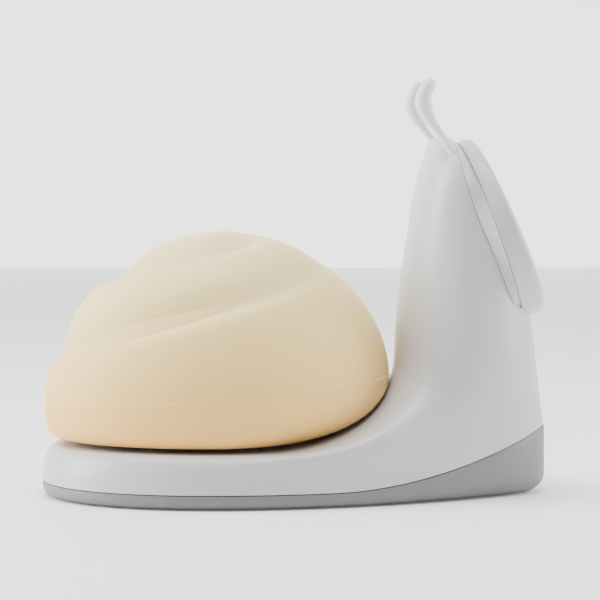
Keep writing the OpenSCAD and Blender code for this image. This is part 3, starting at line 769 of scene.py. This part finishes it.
SHELL_X = -24.6             # middle of the girth
SHELL_A = 54.9
SHELL_B = 45.0
SHELL_TILT = math.radians(4.8)
GIRTH_Z = 32.5
SHELL_TOP_Z = 83.0
APEX_X = -22.6              # the whorls close on this line
DOME_POWER = 1.9            # 2 would be an ellipse; less is nearer a cone
UNDER_Z = 17.7              # underside of the shell
SADDLE_CLEARANCE = 1.5
FURROW = 3.2                # depth of the furrow
FURROW_R = 5.5              # half-width of the furrow along the surface
FLANK_ABOVE = 1.5           # its upper flank is gentler than its lower one
FLANK_BELOW = 0.7
FURROW_TURNS = 1.75         # turns from the tail to the apex
FURROW_CLIMB = 0.535        # share of the dome's height that it climbs, and how evenly
CLIMB_POWER = 1.36
FURROW_DIP = 0.165          # how far it dips at the tail and rises at the chin, less with each turn
FURROW_START, FURROW_END = -0.3, 1.7
FADE_RUN = 0.3
DEEP_TURN = 0.12            # deepest this part of a turn past the tail, and shallowest opposite
FADE_POWER = 1.2
SHALLOWEST = 0.1
DOME_ARC = 84.0             # length of the surface from girth to apex
SKIN_T = 2.4
MEAN_R = 50.0               # turns a depth under the skin into a share of the radius
UNDER_DRAW = 0.12           # how far the underside draws in at the tail, and how much more at the nose
NOSE_DRAW = 0.6
DRAW_POWER = 1.6
NOSE_POWER = 1.5
BEAD = 0.3                  # moulding line round the girth
SHELL_N = 288


def girth_point(t):
    c, s = np.cos(t), np.sin(t)
    return (SHELL_X + SHELL_A * math.cos(SHELL_TILT) * c, SHELL_B * s,
            GIRTH_Z + SHELL_A * math.sin(SHELL_TILT) * c)


def furrow_line(turn):
    """Height share of the furrow after this many turns from the tail."""
    left = np.maximum(0, 1 - turn / FURROW_TURNS)
    return 1 - FURROW_CLIMB * left ** CLIMB_POWER - FURROW_DIP * left * np.cos(2 * np.pi * turn)


def furrow_fade(turn):
    round_turn = ((1 + np.cos(2 * np.pi * (turn - DEEP_TURN))) / 2) ** FADE_POWER
    ends = ramp((turn - FURROW_START) / FADE_RUN) * ramp((FURROW_END - turn) / FADE_RUN)
    return ends * (SHALLOWEST + (1 - SHALLOWEST) * round_turn)


def furrow_depth(t, a):
    turn = ((t + np.pi) % (2 * np.pi)) / (2 * np.pi)
    depth = np.zeros_like(t)
    for u in (turn - 1, turn, turn + 1):
        line = np.arcsin(np.clip(furrow_line(u), 0, 1) ** (DOME_POWER / 2))
        off = (a - line) / (np.pi / 2) * DOME_ARC
        flank = FURROW_R * np.where(off > 0, FLANK_ABOVE, FLANK_BELOW)
        cut = FURROW * furrow_fade(u) * np.exp(-(off / flank) ** 2)
        depth += np.where((u > FURROW_START) & (u < FURROW_END), cut, 0)
    return depth


def dome_ring(a, inset):
    t = turn_angles(SHELL_N)
    gx, gy, gz = girth_point(t)
    w, h = math.cos(a) ** (2 / DOME_POWER), math.sin(a) ** (2 / DOME_POWER)
    depth = inset + (furrow_depth(t, a) if inset <= 0 else 0)
    share = 1 - depth / MEAN_R
    return np.stack([APEX_X + (gx - APEX_X) * w * share, gy * w * share,
                     gz + (SHELL_TOP_Z - gz) * h - depth * h], 1)


def saddle_z(x, y):
    """Height of the saddle's surface over a place in plan."""
    across = np.minimum(1, np.abs(y) / np.maximum(1, egg_half_w(x)))
    xb = x - SADDLE_TUCK * (1 - np.sqrt(1 - across ** 2))
    c = np.clip(1 - (NECK_BACK_X - xb) / SADDLE_R, 0, 1)
    return NECK_FOOT_Z - (NECK_FOOT_Z - DECK_Z) * np.sqrt(1 - c ** 2)


def under_ring(a, inset):
    t = turn_angles(SHELL_N)
    gx, gy, gz = girth_point(t)
    nose = np.maximum(0, np.cos(t)) ** NOSE_POWER
    f = 1 - (UNDER_DRAW + NOSE_DRAW * nose) * (1 - math.cos(a)) ** DRAW_POWER - inset / MEAN_R
    x = SHELL_X + (APEX_X - SHELL_X) * inset / MEAN_R + (gx - SHELL_X) * f
    y = gy * f
    clear_z = saddle_z(x, y) + SADDLE_CLEARANCE + inset * (1 - math.sin(a))
    z = np.minimum(gz - 0.02 * math.degrees(a), np.maximum(lerp(gz, UNDER_Z, math.sin(a)), clear_z))
    return np.stack([x, y, z + inset * math.sin(a)], 1)


def make_shell():
    def flange(share, lift):
        edge = under_ring(math.pi / 2, 0)
        middle = edge.mean(0)
        ring = middle + (edge - middle) * share
        ring[:, 2] = edge[:, 2] + lift
        return ring

    inside = [dome_ring(math.radians(a), SKIN_T) for a in range(88, -1, -8)]
    inside += [under_ring(math.radians(a), SKIN_T) for a in (15, 30, 45, 60)]
    edge = [flange(0.97, SKIN_T), flange(0.86, SKIN_T), flange(0.86, 0), flange(0.99, 0)]
    angles = [87, 82] + list(range(76, 9, -6)) + [5, 2]
    under = [under_ring(math.radians(a), 0) for a in angles]
    bead = [under_ring(math.radians(0.6), -0.02), dome_ring(math.radians(0.02), -BEAD),
            dome_ring(math.radians(0.35), -BEAD), dome_ring(math.radians(0.8), -0.001)]
    dome = [dome_ring(math.radians(a), 0) for a in list(np.arange(1.6, 88, 0.8)) + [88.4, 89.2, 89.7]]
    shell = loft("shell_soft_skin", inside + edge + under + bead + dome)
    soften(shell, 50)
    dress(shell, SILICONE)
    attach(shell, "shell")
    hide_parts("shell_skin")


make_shell()


# ---- Parts that keep their CAD shape ----

FINISHES = {
    FOOT_RUBBER: ["foot_pad"],
    STEEL: ["housing_screws", "ballast_plate", "ballast_screws", "coil_screw", "charger_board_screws",
            "carrier_screws", "carrier_clips", "return_springs", "lamp_board_screws", "main_board_screws",
            "usb_inlet"],
    MAGNET: ["magnet_ring"],
    COPPER: ["charge_coil"],
    FERRITE: ["ferrite_disc"],
    INNER_WHITE: ["coil_carrier", "tentacle_yoke", "shell_carrier", "spring_cups", "lamp_stand",
                  "switch_plunger"],
    BOARD: ["charger_board", "main_board"],
    LAMP_BOARD: ["lamp_board"],
    DIFFUSER: ["diffuser_dome"],
    LED: ["lamp_leds"],
    BLACK: ["press_switch", "board_chips"],
    CABLE: ["neck_cable", "lamp_cable"],
}
for material, names in FINISHES.items():
    for name in names:
        dress(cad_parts[name], material)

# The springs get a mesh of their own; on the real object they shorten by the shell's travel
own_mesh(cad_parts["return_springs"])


# ---- Floor, light and camera ----

FLOOR_GLOW = 0.08
BACKDROP_GLOW = 1.5
SKY_GLOW = 0.3
FLOOR_REACH = 3000          # millimetres, as is the backdrop
BACKDROP_Y = 1800


def make_stage():
    r = FLOOR_REACH
    floor = loft("floor", [[(-r, -r, z), (r, -r, z), (r, r, z), (-r, r, z)] for z in (-20, -0.2)])
    paint = new_material("floor_paint", (0.93, 0.93, 0.93), 0.6)
    vary_colour(paint, noise(paint, 3, 2), (0.92, 0.92, 0.92), (0.94, 0.94, 0.94))
    dress(floor, paint)
    shader = paint.node_tree.nodes["Principled BSDF"]
    shader.inputs["Emission Color"].default_value = (1, 1, 1, 1)
    shader.inputs["Emission Strength"].default_value = FLOOR_GLOW
    backdrop = loft("backdrop", [[(-4000, y, -20), (4000, y, -20), (4000, y, 3000), (-4000, y, 3000)]
                                 for y in (BACKDROP_Y, BACKDROP_Y + 20)])
    glow = new_material("backdrop_paint", (0.95, 0.95, 0.95), 0.8)
    vary_colour(glow, noise(glow, 2, 2), (0.94, 0.94, 0.94), (0.96, 0.96, 0.96))
    shader = glow.node_tree.nodes["Principled BSDF"]
    shader.inputs["Emission Color"].default_value = (1, 1, 1, 1)
    shader.inputs["Emission Strength"].default_value = BACKDROP_GLOW
    dress(backdrop, glow)


def area_light(name, place_at, look_at, size, power):
    data = bpy.data.lights.new(name, "AREA")
    data.shape = "RECTANGLE"
    data.size, data.size_y = size
    data.energy = power
    light = bpy.data.objects.new(name, data)
    light.location = Vector(place_at)
    light.rotation_euler = (Vector(look_at) - Vector(place_at)).to_track_quat("-Z", "Y").to_euler()
    bpy.context.scene.collection.objects.link(light)


def make_camera():
    """From low down on the snail's right, a touch towards its tail."""
    aim = Vector((1.8, 0, 61)) * MM
    swing, rise, distance = math.radians(2.65), math.radians(2.96), 0.85
    back = Vector((-math.sin(swing) * math.cos(rise), -math.cos(swing) * math.cos(rise), math.sin(rise)))
    data = bpy.data.cameras.new("camera")
    data.lens = 160.3
    camera = bpy.data.objects.new("camera", data)
    camera.location = aim + back * distance
    camera.rotation_euler = (-back).to_track_quat("-Z", "Y").to_euler()
    data.clip_start, data.clip_end = 0.02, 20
    bpy.context.scene.collection.objects.link(camera)
    bpy.context.scene.camera = camera


def make_world():
    world = bpy.data.worlds.new("studio")
    world.use_nodes = True
    sky = world.node_tree.nodes["Background"]
    sky.inputs["Color"].default_value = (1, 1, 1, 1)
    sky.inputs["Strength"].default_value = SKY_GLOW
    bpy.context.scene.world = world


make_stage()
make_world()
MIDDLE = (0, 0, 0.055)
area_light("top", (-0.1, -0.12, 1.1), MIDDLE, (1.0, 0.7), 20)
area_light("left", (-1.1, 0.05, 0.4), MIDDLE, (0.6, 0.9), 24)
area_light("right", (1.1, 0.05, 0.4), MIDDLE, (0.6, 0.9), 13)
make_camera()
